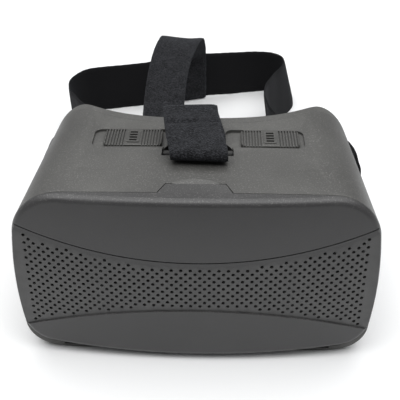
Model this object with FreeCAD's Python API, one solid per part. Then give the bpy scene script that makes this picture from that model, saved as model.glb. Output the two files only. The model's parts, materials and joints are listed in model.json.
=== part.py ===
import FreeCAD, Part
import math
import os

# Phone-holding stereo goggles on a table: the front cover faces -Y, +X is on the right as one looks
# at the cover, +Z is up.  The origin is the middle of the housing's flat base.
# All sizes are millimetres.

V = FreeCAD.Vector
os.makedirs("parts", exist_ok=True)

# ---------------------------------------------------------------- driving dimensions
TOP_Z = 98.2                # top face of the housing above the base
MID_Z = 48.2                # height of the optical axis and of the dome's centre
FACE_Y = -58.0              # foremost point of the domed cover
COVER_DEPTH = 10.0          # cover, from that point to its rear edge
SEAM_Y = FACE_Y + COVER_DEPTH
SEAM_GAP = 0.3              # gap between cover and housing
REAR_Y = FACE_Y + 107.0     # rearmost corner of the face frame
WALL = 2.4                  # moulded wall of the housing
COVER_WALL = 2.2            # moulded wall of the cover

SIDE_HALF = 90.5            # half width at the widest height
SIDE_BULGE = 2.2            # how much the sides come in 30 mm above and below that height
SIDE_TAPER = 5.0            # how much each side comes in from the seam to the rear
CROWN = 0.4                 # rise of the top face's middle
KEEL = 3.8                  # rise of the base's edges at the corners
SHOULDER_IN = 2.2           # how much more the sides lean in above the middle than below it
FOOT_HALF = 60.0            # the housing's base is flat this far to each side
COVER_LIFT = 2.8            # the cover's lower edge stands this much above the housing's base
TOP_CORNER_R = 25.0
BOTTOM_CORNER_R = 17.0
LEAST_CORNER_R = 5.0
EDGE_R = 3.4                # rounding between the cover's face and its rim
DOME_R = 585.0              # radius of the domed face

HOLE_R = 0.85               # perforations of the cover
HOLE_STEP_X = 2.3
HOLE_STEP_Z = 2.21
BAND_DEPTH = 0.9            # the perforated band lies this much below the panels
BEAD_DEPTH = 0.35           # and its bead this much
BAND_TOP = 16.4             # band's upper edge above MID_Z at the middle
BAND_TOP_R = 234.0
BAND_BOTTOM = -14.0         # band's lower edge at the middle
BAND_BOTTOM_R = 243.0

HINGE_Y = FACE_Y + 8.0      # cover hinge axis
HINGE_Z = COVER_LIFT + 8.0
HINGE_X = 40.0              # middle of each hinge knuckle
KNUCKLE_HALF = 5.5
KNUCKLE_R = 2.8
LUG_R = 2.0
PIN_R = 1.0
PIN_FIT = 0.05              # running clearance, on the radius
SWEEP_R = 9.1               # the housing keeps clear of the cover's lower edge within this radius
SWEEP_HALF = 70.0           # up to here; beyond, the radius shrinks with the cover's corners

TAB_FRONT_HALF = 17.6       # latch tongue on the cover's top edge
TAB_REAR_HALF = 14.2
TAB_REAR_Y = FACE_Y + 18.0
TAB_THICK = 1.5

SLIDE_X = 34.5              # middle of each slider's recess
SLIDE_Y = FACE_Y + 63.5
RECESS_HALF_X = 20.5
RECESS_HALF_Y = 9.5
RECESS_DEPTH = 1.2
BUTTON_HALF_X = 15.1
BUTTON_HALF_Y = 8.8
BUTTON_THICK = 2.1
LEFT_BUTTON_X = -33.9       # where the two buttons stand at rest
RIGHT_BUTTON_X = 37.2
LENS_INSET = 2.5            # each lens is this much nearer the middle than its button
STEM_HALF_X = 4.0
STEM_HALF_Y = 1.2
STEM_Y = FACE_Y + 65.6
SLOT_HALF_X = 9.8
SLOT_HALF_Y = 1.9

LENS_R = 20.0
LENS_EDGE = 3.0
LENS_SAG = 3.6
CARRIAGE_HALF_X = 23.0
CARRIAGE_HALF_Z = 30.0
CARRIAGE_THICK = 2.4

POCKET_HALF_X = 18.2        # strap pocket in the top face
POCKET_FRONT_Y = FACE_Y + 45.0
POCKET_REAR_Y = FACE_Y + 66.0
POCKET_FLOOR_Z = 88.2
TOP_BAR_R = 2.0
TOP_BAR_Y = FACE_Y + 53.0
TOP_BAR_Z = 94.4

SEAT_Y = FACE_Y + 26.2      # phone seat, front face
SEAT_THICK = 2.6
BOARD_Y = FACE_Y + 68.0     # lens board, front face
BOARD_THICK = 2.4
BOSS_X = 62.0
BOSS_LOW_Z = 5.6
BOSS_HIGH_Z = 92.6
BOSS_R = 3.5
SCREW_R = 1.1
SCREW_HEAD_R = 2.5
SCREW_HEAD = 1.8
SCREW_LENGTH = 8.0

FRAME_WIDTH = 6.0           # face frame, front to rear
FRAME_RING = 8.0            # face frame, radial
CUSHION_THICK = 6.0
CUSHION_RING = 12.0
CUSHION_INSET = 5.0          # the cushion's outside below the frame's outside
NOSE_HALF = 17.0
NOSE_Y = FACE_Y + 72.5
NOSE_WALL = 1.6

STRAP_Z0 = 2.6              # lower edge of the head strap where it stands on the table
STRAP_WIDE = 38.0
STRAP_THICK = 1.6
TOP_STRAP_WIDE = 28.4
TOP_STRAP_THICK = 1.8
STRAP_BAR_Y = FACE_Y + 80.0
STRAP_BAR_R = 1.6
STRAP_BAR_HALF = 24.0
STRAP_SLOT_HALF_Y = 8.2
STRAP_SLOT_HALF_Z = 21.0


# ---------------------------------------------------------------- helpers
def box(x0, x1, y0, y1, z0, z1):
    return Part.makeBox(x1 - x0, y1 - y0, z1 - z0, V(x0, y0, z0))


def rod_x(x0, x1, y, z, r):
    return Part.makeCylinder(r, x1 - x0, V(x0, y, z), V(1, 0, 0))


def rod_y(x, y0, y1, z, r):
    return Part.makeCylinder(r, y1 - y0, V(x, y0, z), V(0, 1, 0))


def rod_z(x, y, z0, z1, r):
    return Part.makeCylinder(r, z1 - z0, V(x, y, z0), V(0, 0, 1))


def arc(a, b, c):
    return Part.Arc(a, b, c).toShape()


def line(a, b):
    return Part.LineSegment(a, b).toShape()


def fused(shapes):
    whole = shapes[0].fuse(shapes[1:]) if len(shapes) > 1 else shapes[0]
    return whole.removeSplitter()


def prism_xz(points, y0, y1):
    wire = Part.makePolygon([V(x, y0, z) for x, z in points + points[:1]])
    return Part.Face(wire).extrude(V(0, y1 - y0, 0))


def prism_yz(points, x0, x1):
    wire = Part.makePolygon([V(x0, y, z) for y, z in points + points[:1]])
    return Part.Face(wire).extrude(V(x1 - x0, 0, 0))


def rounded_slab(cx, cy, half_x, half_y, z0, z1, r):
    slab = box(cx - half_x, cx + half_x, cy - half_y, cy + half_y, z0, z1)
    corners = [e for e in slab.Edges if abs(e.tangentAt(e.FirstParameter).z) > 0.9]
    return slab.makeFillet(r, corners)


def screw(x, y, z, way):
    """A cross-head screw: the head's underside is at y and the shank runs along way * Y."""
    head = Part.makeCylinder(SCREW_HEAD_R, SCREW_HEAD, V(x, y, z), V(0, -way, 0))
    shank = Part.makeCylinder(SCREW_R, SCREW_LENGTH, V(x, y, z), V(0, way, 0))
    top = y - way * SCREW_HEAD
    low = min(top, top + way * 0.9)
    cross = box(x - 1.5, x + 1.5, low, low + 0.9, z - 0.3, z + 0.3)
    cross = cross.fuse(box(x - 0.3, x + 0.3, low, low + 0.9, z - 1.5, z + 1.5))
    return head.fuse(shank).cut(cross)


# ---------------------------------------------------------------- outline of the housing
def half_width(y):
    """Half width of the outline at its widest height, at depth y."""
    along = max(0.0, y - SEAM_Y) / (REAR_Y - SEAM_Y)
    return SIDE_HALF - SIDE_TAPER * along


def outline_wire(y, inset, footed):
    """Top, sides and base before the corners are rounded; a footed base is flat in its middle."""
    side = half_width(y) - inset
    top = TOP_Z - inset
    base = inset if footed else inset + COVER_LIFT
    rise = KEEL * 1.4
    shoulder = side - 1.2 * SIDE_BULGE - 0.6
    high = shoulder - SHOULDER_IN
    tr = V(high, y, top - CROWN * 2.0)
    tl = V(-high, y, top - CROWN * 2.0)
    br = V(shoulder, y, base + rise)
    bl = V(-shoulder, y, base + rise)
    waist = V(side, y, MID_Z - 4.0)
    edges = [arc(tl, V(0, y, top), tr), arc(tr, waist, br)]
    if footed:
        reach = shoulder - FOOT_HALF
        bend_r = (reach ** 2 + rise ** 2) / (2 * rise)
        half_rise = bend_r - math.sqrt(bend_r ** 2 - (reach / 2) ** 2)
        middle = FOOT_HALF + reach / 2
        edges.append(arc(br, V(middle, y, base + half_rise), V(FOOT_HALF, y, base)))
        edges.append(line(V(FOOT_HALF, y, base), V(-FOOT_HALF, y, base)))
        edges.append(arc(V(-FOOT_HALF, y, base), V(-middle, y, base + half_rise), bl))
    else:
        edges.append(arc(br, V(0, y, base), bl))
    edges.append(arc(bl, V(-side, y, MID_Z - 4.0), tl))
    return Part.Wire(edges)


def outline_body(y0, y1, inset, footed=True):
    """The outer form between two depths, shrunk by inset all round."""
    blank = Part.makeLoft([outline_wire(y0, inset, footed), outline_wire(y1, inset, footed)], True, True)
    top = [e for e in blank.Edges if corner_edge(e, y0, y1) and e.CenterOfMass.z > MID_Z]
    blank = blank.makeFillet(max(TOP_CORNER_R - inset, LEAST_CORNER_R), top)
    low = [e for e in blank.Edges if corner_edge(e, y0, y1) and e.CenterOfMass.z < MID_Z]
    return blank.makeFillet(max(BOTTOM_CORNER_R - inset, LEAST_CORNER_R), low)


def corner_edge(edge, y0, y1):
    """True for the edges along Y at the four corners."""
    return abs(edge.BoundBox.YLength - (y1 - y0)) < 0.5 and abs(edge.CenterOfMass.x) > FOOT_HALF + 1


def dome_ball(shift):
    return Part.makeSphere(DOME_R, V(0, FACE_Y + shift + DOME_R, MID_Z))


def rear_region(shift):
    """Everything in front of the face contour, moved rearwards by shift."""
    y = FACE_Y + shift
    knots = [(-65, 104.7), (-56, 98.6), (-43, 92.3), (-30, 88.7), (0, 86.5)]
    knots += [(-x, d) for x, d in reversed(knots[:-1])]
    curve = Part.BSplineCurve()
    curve.interpolate([V(x, y + d, 0) for x, d in knots])
    right_side = arc(V(65, y + 104.7, 0), V(73.5, y + 106.6, 0), V(84, y + 100, 0))
    left_side = arc(V(-84, y + 100, 0), V(-73.5, y + 106.6, 0), V(-65, y + 104.7, 0))
    ends = [(84, 100), (95, 89), (95, -40), (-95, -40), (-95, 89), (-84, 100)]
    front = Part.makePolygon([V(x, y + d, 0) for x, d in ends])
    edges = [curve.toShape(), right_side] + front.Edges + [left_side]
    wire = Part.Wire(Part.__sortEdges__(edges))
    face = Part.Face(wire)
    face.translate(V(0, 0, -5))
    return face.extrude(V(0, 0, TOP_Z + 10))


def nose_arch(grow):
    """The notch for the nose, up from the base at the rear, made larger by grow."""
    return rod_y(0, NOSE_Y - grow, REAR_Y + 20, 2.0, NOSE_HALF + grow)


def nose_shroud():
    """The wall that closes the notch towards the optics."""
    room = outline_body(SEAM_Y + SEAM_GAP, REAR_Y + 2, 1.0).common(rear_region(-FRAME_WIDTH))
    return nose_arch(NOSE_WALL).common(room)


# ---------------------------------------------------------------- front cover and its hinge
def band_tool(top, bottom, depth):
    """Cuts the face to a depth, between two arcs given by their height at the middle."""
    half = 96.0
    y = FACE_Y - 4
    rise = BAND_TOP_R - math.sqrt(BAND_TOP_R ** 2 - half ** 2)
    fall = BAND_BOTTOM_R - math.sqrt(BAND_BOTTOM_R ** 2 - half ** 2)
    up = arc(V(-half, y, MID_Z + top + rise), V(0, y, MID_Z + top), V(half, y, MID_Z + top + rise))
    if bottom is None:
        low = BAND_BOTTOM
        down = arc(V(half, y, MID_Z + low - fall), V(0, y, MID_Z + low), V(-half, y, MID_Z + low - fall))
        a = V(half, y, MID_Z + low - fall)
        b = V(-half, y, MID_Z + low - fall)
    else:
        down = arc(V(half, y, MID_Z + bottom + rise), V(0, y, MID_Z + bottom),
                   V(-half, y, MID_Z + bottom + rise))
        a = V(half, y, MID_Z + bottom + rise)
        b = V(-half, y, MID_Z + bottom + rise)
    right = line(V(half, y, MID_Z + top + rise), a)
    left = line(b, V(-half, y, MID_Z + top + rise))
    slab = Part.Face(Part.Wire([up, right, down, left])).extrude(V(0, 20, 0))
    return slab.cut(dome_ball(depth))


def first_column(row):
    """The bow-tie's waist: how far from the middle a row of perforations starts."""
    starts = {5: 0, 6: 14, 7: 19, 8: 24, 9: 27, 10: 32, 11: 35, 12: 36}
    return starts.get(abs(row), 0)


def perforations():
    pins = []
    for row in range(-12, 13):
        for column in range(-36, 37):
            if (row + column) % 2 == 0 and abs(column) >= first_column(row):
                x = column * HOLE_STEP_X
                z = MID_Z + row * HOLE_STEP_Z
                pins.append(rod_y(x, FACE_Y - 1, SEAM_Y + 4, z, HOLE_R))
    return Part.Compound(pins)


def cover_dish():
    outer = outline_body(FACE_Y - 6, SEAM_Y, 0.0, footed=False).common(dome_ball(0.0))
    rim = [e for e in outer.Edges if is_face_edge(e)]
    outer = outer.makeFillet(EDGE_R, rim)
    inner = outline_body(FACE_Y - 6, SEAM_Y + 1, COVER_WALL, footed=False).common(dome_ball(COVER_WALL))
    return outer.cut(inner)


def is_face_edge(edge):
    """True for the edges between the domed face and the rim."""
    ends = [v.Point for v in edge.Vertexes] + [edge.CenterOfMass]
    return all(p.y < SEAM_Y - 1.0 for p in ends) and edge.BoundBox.YMax < SEAM_Y - 1.0


def latch_tongue():
    z1 = TOP_Z - 0.1
    z0 = z1 - TAB_THICK
    plan = [(-TAB_FRONT_HALF, SEAM_Y), (TAB_FRONT_HALF, SEAM_Y)]
    plan += [(TAB_REAR_HALF, TAB_REAR_Y), (-TAB_REAR_HALF, TAB_REAR_Y)]
    wire = Part.makePolygon([V(x, y, z0) for x, y in plan + plan[:1]])
    tongue = Part.Face(wire).extrude(V(0, 0, TAB_THICK))
    root = box(-TAB_FRONT_HALF, TAB_FRONT_HALF, SEAM_Y - 3.0, SEAM_Y, z0, z1)
    return fused([tongue, root])


def knuckle(x):
    barrel = rod_x(x - KNUCKLE_HALF, x + KNUCKLE_HALF, HINGE_Y, HINGE_Z, KNUCKLE_R)
    foot = COVER_LIFT + 2.6
    web = prism_yz([(HINGE_Y - 3.0, foot), (HINGE_Y + 1.5, foot), (HINGE_Y + 2.3, HINGE_Z - 1.4),
                    (HINGE_Y - 3.0, HINGE_Z + 1.8)],
                   x - KNUCKLE_HALF, x + KNUCKLE_HALF)
    return fused([barrel, web])


def rolled_lip(x0, x1):
    """A strip behind the cover's lower edge, round the hinge axis, that closes the groove below."""
    ring = rod_x(x0, x1, HINGE_Y, HINGE_Z, 8.3).cut(rod_x(x0, x1, HINGE_Y, HINGE_Z, 6.6))
    keep = box(x0, x1, SEAM_Y - 0.6, SEAM_Y + 7, COVER_LIFT, COVER_LIFT + 3.6)
    return ring.common(keep)


def front_cover():
    dish = cover_dish()
    dish = dish.cut(band_tool(BAND_TOP, BAND_TOP - 0.8, BAND_DEPTH))
    dish = dish.cut(band_tool(BAND_TOP - 0.8, BAND_TOP - 2.9, BEAD_DEPTH))
    dish = dish.cut(band_tool(BAND_TOP - 2.9, None, BAND_DEPTH))
    dish = dish.fuse([latch_tongue(), knuckle(-HINGE_X), knuckle(HINGE_X), rolled_lip(-28, 28)])
    for x in (-HINGE_X, HINGE_X):
        dish = dish.cut(rod_x(x - 9, x + 9, HINGE_Y, HINGE_Z, PIN_R + PIN_FIT))
    return dish.cut(perforations())


def hinge_lug(x0, x1):
    """A plate that comes over the cover's swing and holds the pin."""
    eye = rod_x(x0, x1, HINGE_Y, HINGE_Z, LUG_R)
    arm = [(-1.9, 0.6), (-1.9, 3.2), (5.0, 7.6), (12.5, 7.6), (12.5, -9.2), (9.6, -9.2), (9.6, 4.2),
           (3.0, 1.6), (1.9, 0.6)]
    plate = prism_yz([(HINGE_Y + y, HINGE_Z + z) for y, z in arm], x0, x1)
    return fused([eye, plate])


def hinge_pin(x):
    return rod_x(x - 9.0, x + 9.0, HINGE_Y, HINGE_Z, PIN_R)


def cover_pad(x):
    """Foam strip inside the cover that presses on the phone."""
    strip = box(x - 5.0, x + 5.0, FACE_Y, SEAM_Y + 3.0, 24.0, 76.0)
    return strip.common(dome_ball(COVER_WALL + 0.05))


# ---------------------------------------------------------------- housing
def housing_shell():
    front = SEAM_Y + SEAM_GAP
    outer = outline_body(front, REAR_Y + 2, 0.0)
    inner = outline_body(front - 1, REAR_Y + 3, WALL)
    shell = outer.cut(inner)
    return shell.common(rear_region(-FRAME_WIDTH))


def stem_slot(x):
    return rounded_slab(x, STEM_Y, SLOT_HALF_X, SLOT_HALF_Y, TOP_Z - 6, TOP_Z + 1, 1.5)


def cover_sweep():
    """The space that the cover's lower edge passes through as it opens."""
    room = rod_x(-SWEEP_HALF, SWEEP_HALF, HINGE_Y, HINGE_Z, SWEEP_R)
    room = room.common(box(-80, 80, SEAM_Y, SEAM_Y + 12, -1, COVER_LIFT + 3.2))
    for side in (-1, 1):
        cone = Part.makeCone(7.5, 3.2, 13.5, V(side * SWEEP_HALF, HINGE_Y, HINGE_Z), V(side, 0, 0))
        cone = cone.common(box(-95, 95, SEAM_Y, SEAM_Y + 12, -1, HINGE_Z + 1.2))
        room = room.fuse(cone)
    return room


def strap_pocket_form(grow, floor):
    """D-shaped pocket: straight in front, half an ellipse behind."""
    half = POCKET_HALF_X + grow
    front = POCKET_FRONT_Y - grow
    rear = POCKET_REAR_Y + grow
    shoulder = front + 5.0
    ellipse = Part.Ellipse(V(half, shoulder, floor), V(0, rear, floor), V(0, shoulder, floor))
    curve = Part.ArcOfEllipse(ellipse, 0, math.pi).toShape()
    a = V(half, shoulder, floor)
    b = V(-half, shoulder, floor)
    edges = [curve, line(b, V(-half, front, floor)), line(V(-half, front, floor), V(half, front, floor)),
             line(V(half, front, floor), a)]
    face = Part.Face(Part.Wire(Part.__sortEdges__(edges)))
    return face.extrude(V(0, 0, TOP_Z + 1.0 - floor))


def screw_bosses():
    bosses = []
    for x in (-BOSS_X, BOSS_X):
        for z in (BOSS_LOW_Z, BOSS_HIGH_Z):
            bosses.append(rod_y(x, SEAT_Y + SEAT_THICK, SEAT_Y + SEAT_THICK + 10, z, BOSS_R))
            bosses.append(rod_y(x, BOARD_Y - 10, BOARD_Y, z, BOSS_R))
    for x, z in frame_screw_places():
        bosses.append(rod_y(x, FACE_Y + 74.0, frame_joint_y(x), z, BOSS_R))
    return bosses


def frame_screw_places():
    return [(sign * 40.0, z) for sign in (-1, 1) for z in (BOSS_LOW_Z, BOSS_HIGH_Z)]


def frame_joint_y(x):
    """Depth at which a frame screw's boss meets the face frame."""
    return FACE_Y + 84.0


def strap_bar_x(side):
    return side * (half_width(STRAP_BAR_Y) - 4.6)


def side_slot(side):
    x = side * half_width(STRAP_BAR_Y)
    slot = box(x - 9, x + 9, STRAP_BAR_Y - STRAP_SLOT_HALF_Y, STRAP_BAR_Y + STRAP_SLOT_HALF_Y,
               MID_Z - STRAP_SLOT_HALF_Z, MID_Z + STRAP_SLOT_HALF_Z)
    edges = [e for e in slot.Edges if abs(e.tangentAt(e.FirstParameter).x) > 0.9]
    return slot.makeFillet(3.0, edges)


def bar_sockets(side):
    """Two small blocks inside the side wall that hold a strap bar's ends."""
    x = strap_bar_x(side)
    outer_x = side * (half_width(STRAP_BAR_Y) - WALL)
    lo, hi = min(x - side * 3.0, outer_x), max(x - side * 3.0, outer_x)
    blocks = []
    for z0, z1 in ((MID_Z - STRAP_BAR_HALF - 2, MID_Z - STRAP_SLOT_HALF_Z - 0.2),
                   (MID_Z + STRAP_SLOT_HALF_Z + 0.2, MID_Z + STRAP_BAR_HALF + 2)):
        blocks.append(box(lo, hi, STRAP_BAR_Y - 4, STRAP_BAR_Y + 4, z0, z1))
    return blocks


def main_housing():
    body = housing_shell()
    additions = screw_bosses()
    additions.append(strap_pocket_form(1.6, POCKET_FLOOR_Z - 1.6).common(
        box(-30, 30, FACE_Y, REAR_Y, 80, TOP_Z - 1.0)))
    additions.append(box(-TAB_FRONT_HALF - 2, TAB_FRONT_HALF + 2, SEAM_Y + SEAM_GAP, TAB_REAR_Y + 4,
                         TOP_Z - WALL - 2.0, TOP_Z - WALL + 0.5))
    for x in (-HINGE_X, HINGE_X):
        for side in (-1, 1):
            inner = x + side * (KNUCKLE_HALF + 0.4)
            outer = inner + side * 3.0
            additions.append(hinge_lug(min(inner, outer), max(inner, outer)))
    for side in (-1, 1):
        additions += bar_sockets(side)
    additions.append(nose_shroud())
    body = fused([body] + additions)
    cuts = [strap_pocket_form(0.0, POCKET_FLOOR_Z), nose_arch(0.0), cover_sweep()]
    for sign in (-1, 1):
        x = sign * SLIDE_X
        cuts.append(rounded_slab(x, SLIDE_Y, RECESS_HALF_X, RECESS_HALF_Y,
                                 TOP_Z - CROWN - RECESS_DEPTH, TOP_Z + 1, 4.0))
        cuts.append(stem_slot(x))
        cuts.append(side_slot(sign))
        cuts.append(rod_z(strap_bar_x(sign), STRAP_BAR_Y, MID_Z - STRAP_BAR_HALF,
                          MID_Z + STRAP_BAR_HALF, STRAP_BAR_R))
        cuts.append(rod_x(sign * HINGE_X - 9.0, sign * HINGE_X + 9.0, HINGE_Y, HINGE_Z, PIN_R))
    cuts.append(rod_x(-POCKET_HALF_X - 1.2, POCKET_HALF_X + 1.2, TOP_BAR_Y, TOP_BAR_Z, TOP_BAR_R))
    cuts += tongue_recess()
    cuts += screw_holes()
    for cutter in cuts:
        body = body.cut(cutter)
    return body


def tongue_recess():
    gap = SEAM_GAP
    z0 = TOP_Z - 0.1 - TAB_THICK - gap
    plan = [(-TAB_FRONT_HALF - 3 * gap, SEAM_Y - 1), (TAB_FRONT_HALF + 3 * gap, SEAM_Y - 1),
            (TAB_REAR_HALF + gap, TAB_REAR_Y + gap), (-TAB_REAR_HALF - gap, TAB_REAR_Y + gap)]
    wire = Part.makePolygon([V(x, y, z0) for x, y in plan + plan[:1]])
    recess = Part.Face(wire).extrude(V(0, 0, 5))
    cap_r, cap_depth = 18.7, 2.4
    ball_r = (cap_r ** 2 + cap_depth ** 2) / (2 * cap_depth)
    scoop = Part.makeSphere(ball_r, V(0, FACE_Y + 3.8, TOP_Z - cap_depth + ball_r))
    scoop = scoop.common(box(-20, 20, TAB_REAR_Y - 4, TAB_REAR_Y + 8, TOP_Z - 4, TOP_Z + 1))
    return [recess, scoop]


def screw_holes():
    holes = []
    for x in (-BOSS_X, BOSS_X):
        for z in (BOSS_LOW_Z, BOSS_HIGH_Z):
            y = SEAT_Y + SEAT_THICK
            holes.append(rod_y(x, y, y + 8, z, SCREW_R + 0.05))
            holes.append(rod_y(x, BOARD_Y - 8, BOARD_Y, z, SCREW_R + 0.05))
    for x, z in frame_screw_places():
        holes.append(rod_y(x, frame_joint_y(x) - 9.0, frame_joint_y(x) + 1.0, z, SCREW_R + 0.05))
    return holes


def face_frame():
    ring = outline_body(FACE_Y + 60, REAR_Y + 2, 0.0).cut(outline_body(FACE_Y + 59, REAR_Y + 3, FRAME_RING))
    ring = ring.common(rear_region(0.0)).cut(rear_region(-FRAME_WIDTH + 0.1))
    ring = ring.cut(nose_arch(0.0))
    for x, z in frame_screw_places():
        ring = ring.cut(rod_y(x, FACE_Y + 70, REAR_Y, z, SCREW_R + 0.3))
        ring = ring.cut(rod_y(x, frame_joint_y(x) + 3.0, REAR_Y + 2, z, SCREW_HEAD_R + 0.4))
    return ring


def face_cushion():
    outer = outline_body(FACE_Y + 60, REAR_Y + 12, CUSHION_INSET)
    inner = outline_body(FACE_Y + 59, REAR_Y + 13, CUSHION_INSET + CUSHION_RING, footed=False)
    ring = outer.cut(inner).common(rear_region(CUSHION_THICK)).cut(rear_region(0.1))
    gap = nose_arch(0.0)
    gap.scale(1.06, V(0, REAR_Y, 0))
    return ring.cut(gap)


# ---------------------------------------------------------------- optics
def board_blank(y, thick, inset):
    return outline_body(y - 4, y + thick + 4, inset).common(box(-95, 95, y, y + thick, 0, 100))


def lens_board():
    board = board_blank(BOARD_Y, BOARD_THICK, WALL + 0.4)
    for x in (LEFT_BUTTON_X + LENS_INSET, RIGHT_BUTTON_X - LENS_INSET):
        board = board.cut(rounded_window(math.copysign(32.0, x), 27.0, 22.0, BOARD_Y, BOARD_THICK))
    for x in (-BOSS_X, BOSS_X):
        for z in (BOSS_LOW_Z, BOSS_HIGH_Z):
            board = board.cut(rod_y(x, BOARD_Y - 1, BOARD_Y + 6, z, SCREW_R + 0.3))
    for x in (-40.0, 40.0):
        for z in (BOSS_LOW_Z, BOSS_HIGH_Z):
            board = board.cut(rod_y(x, BOARD_Y - 1, BOARD_Y + 6, z, BOSS_R + 0.5))
    return board


def rounded_window(x, half_x, half_z, y, thick):
    window = box(x - half_x, x + half_x, y - 1, y + thick + 1, MID_Z - half_z, MID_Z + half_z)
    edges = [e for e in window.Edges if abs(e.tangentAt(e.FirstParameter).y) > 0.9]
    return window.makeFillet(half_z - 3.0, edges)


def phone_seat():
    seat = board_blank(SEAT_Y, SEAT_THICK, WALL + 0.4)
    for sign in (-1, 1):
        window = box(sign * 38 - 34, sign * 38 + 34, SEAT_Y - 1, SEAT_Y + 6, 14, 84)
        edges = [e for e in window.Edges if abs(e.tangentAt(e.FirstParameter).y) > 0.9]
        seat = seat.cut(window.makeFillet(8.0, edges))
        for z in (BOSS_LOW_Z, BOSS_HIGH_Z):
            seat = seat.cut(rod_y(sign * BOSS_X, SEAT_Y - 1, SEAT_Y + 6, z, SCREW_R + 0.3))
    return seat


def septum():
    """The wall between the two eyes, from the phone seat to just before the lenses."""
    y0 = SEAT_Y + SEAT_THICK + 0.1
    y1 = BOARD_Y - 8.8
    plan = [(y0, 6.0), (y0, 84.0), (y1, 84.0), (y1, 30.0), (y1 - 16, 12.0), (y1 - 16, 6.0)]
    return prism_yz(plan, -1.0, 1.0)


def seat_pad(sign):
    """Thin foam strip on the outer post of the phone seat."""
    x = sign * 78.5
    return box(x - 4.0, x + 4.0, SEAT_Y - 2.1, SEAT_Y - 0.1, 20.0, 78.0)


def lens_rail(top):
    """Strip in front of the lens board with a groove that the carriages slide in."""
    z = MID_Z + CARRIAGE_HALF_Z if top else MID_Z - CARRIAGE_HALF_Z
    way = 1 if top else -1
    y_groove = BOARD_Y - 1.2 - CARRIAGE_THICK
    z0, z1 = sorted((z - way * 2.0, z + way * 5.0))
    rail = box(-64, 64, BOARD_Y - 6.6, BOARD_Y - 0.1, z0, z1)
    g0, g1 = sorted((z - way * 2.5, z + way * 0.4))
    rail = rail.cut(box(-65, 65, y_groove - 0.15, y_groove + CARRIAGE_THICK + 0.15, g0, g1))
    if top:
        for sign in (-1, 1):
            rail = rail.cut(box(sign * SLIDE_X - SLOT_HALF_X - 0.5, sign * SLIDE_X + SLOT_HALF_X + 0.5,
                                y_groove - 0.3, y_groove + CARRIAGE_THICK + 0.3, z0 - 1, z1 + 1))
    for x in (-58.0, 0.0, 58.0):
        rail = rail.cut(rod_y(x, BOARD_Y - 8, BOARD_Y, z + way * 2.7, 0.9))
    return rail


def rail_screws():
    made = []
    for way in (1, -1):
        z = MID_Z + way * (CARRIAGE_HALF_Z + 2.7)
        for x in (-58.0, 0.0, 58.0):
            head = rod_y(x, BOARD_Y - 8.2, BOARD_Y - 6.7, z, 1.9)
            slot = box(x - 2, x + 2, BOARD_Y - 8.3, BOARD_Y - 7.6, z - 0.3, z + 0.3)
            made.append(head.cut(slot).fuse(rod_y(x, BOARD_Y - 6.8, BOARD_Y - 0.2, z, 0.85)))
    return Part.Compound(made)


def lens_carriage(button_x, lens_x):
    """Plate with the lens opening and a stem that reaches up to the slider."""
    y0 = BOARD_Y - 1.2 - CARRIAGE_THICK
    y1 = y0 + CARRIAGE_THICK
    plate = box(lens_x - CARRIAGE_HALF_X, lens_x + CARRIAGE_HALF_X, y0, y1,
                MID_Z - CARRIAGE_HALF_Z + 0.0, MID_Z + CARRIAGE_HALF_Z - 0.0)
    edges = [e for e in plate.Edges if abs(e.tangentAt(e.FirstParameter).y) > 0.9]
    plate = plate.makeFillet(1.5, edges)
    stem_y = 0.5 * (y0 + y1)
    stem = box(button_x - STEM_HALF_X, button_x + STEM_HALF_X, stem_y - STEM_HALF_Y, stem_y + STEM_HALF_Y,
               MID_Z + CARRIAGE_HALF_Z - 4, TOP_Z - CROWN - RECESS_DEPTH + 0.05)
    tube = rod_y(lens_x, y0 - 5.0, y0 + 0.5, MID_Z, LENS_R + 3.0)
    body = fused([plate, stem, tube])
    body = body.cut(rod_y(lens_x, y0 - 6.0, y1 + 1.0, MID_Z, LENS_R - 1.2))
    return body.cut(rod_y(lens_x, y0 - 6.0, y1 - 1.0, MID_Z, LENS_R + 0.1))


def lens(lens_x):
    """Biconvex lens lying against the carriage's inner step."""
    y1 = BOARD_Y - 1.2 - 1.0 - 0.05
    y0 = y1 - LENS_EDGE
    rim = rod_y(lens_x, y0, y1, MID_Z, LENS_R)
    clear_r = LENS_R - 2.2
    cap_r = (clear_r ** 2 + LENS_SAG ** 2) / (2 * LENS_SAG)
    front = Part.makeSphere(cap_r, V(lens_x, y0 - LENS_SAG + cap_r, MID_Z))
    front = front.common(rod_y(lens_x, y0 - LENS_SAG - 1, y0, MID_Z, clear_r))
    bore_r = LENS_R - 1.5
    rear_r = (bore_r ** 2 + LENS_SAG ** 2) / (2 * LENS_SAG)
    rear = Part.makeSphere(rear_r, V(lens_x, y1 + LENS_SAG - rear_r, MID_Z))
    rear = rear.common(rod_y(lens_x, y1, y1 + LENS_SAG + 1, MID_Z, bore_r))
    return fused([rim, front, rear])


def lens_ring(lens_x):
    """Ring that holds the lens in its tube from the front."""
    y1 = BOARD_Y - 1.2 - 1.0 - 0.05 - LENS_EDGE - 0.05
    ring = rod_y(lens_x, y1 - 2.0, y1, MID_Z, LENS_R + 0.05)
    return ring.cut(rod_y(lens_x, y1 - 3.0, y1 + 1.0, MID_Z, LENS_R - 2.0))


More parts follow.
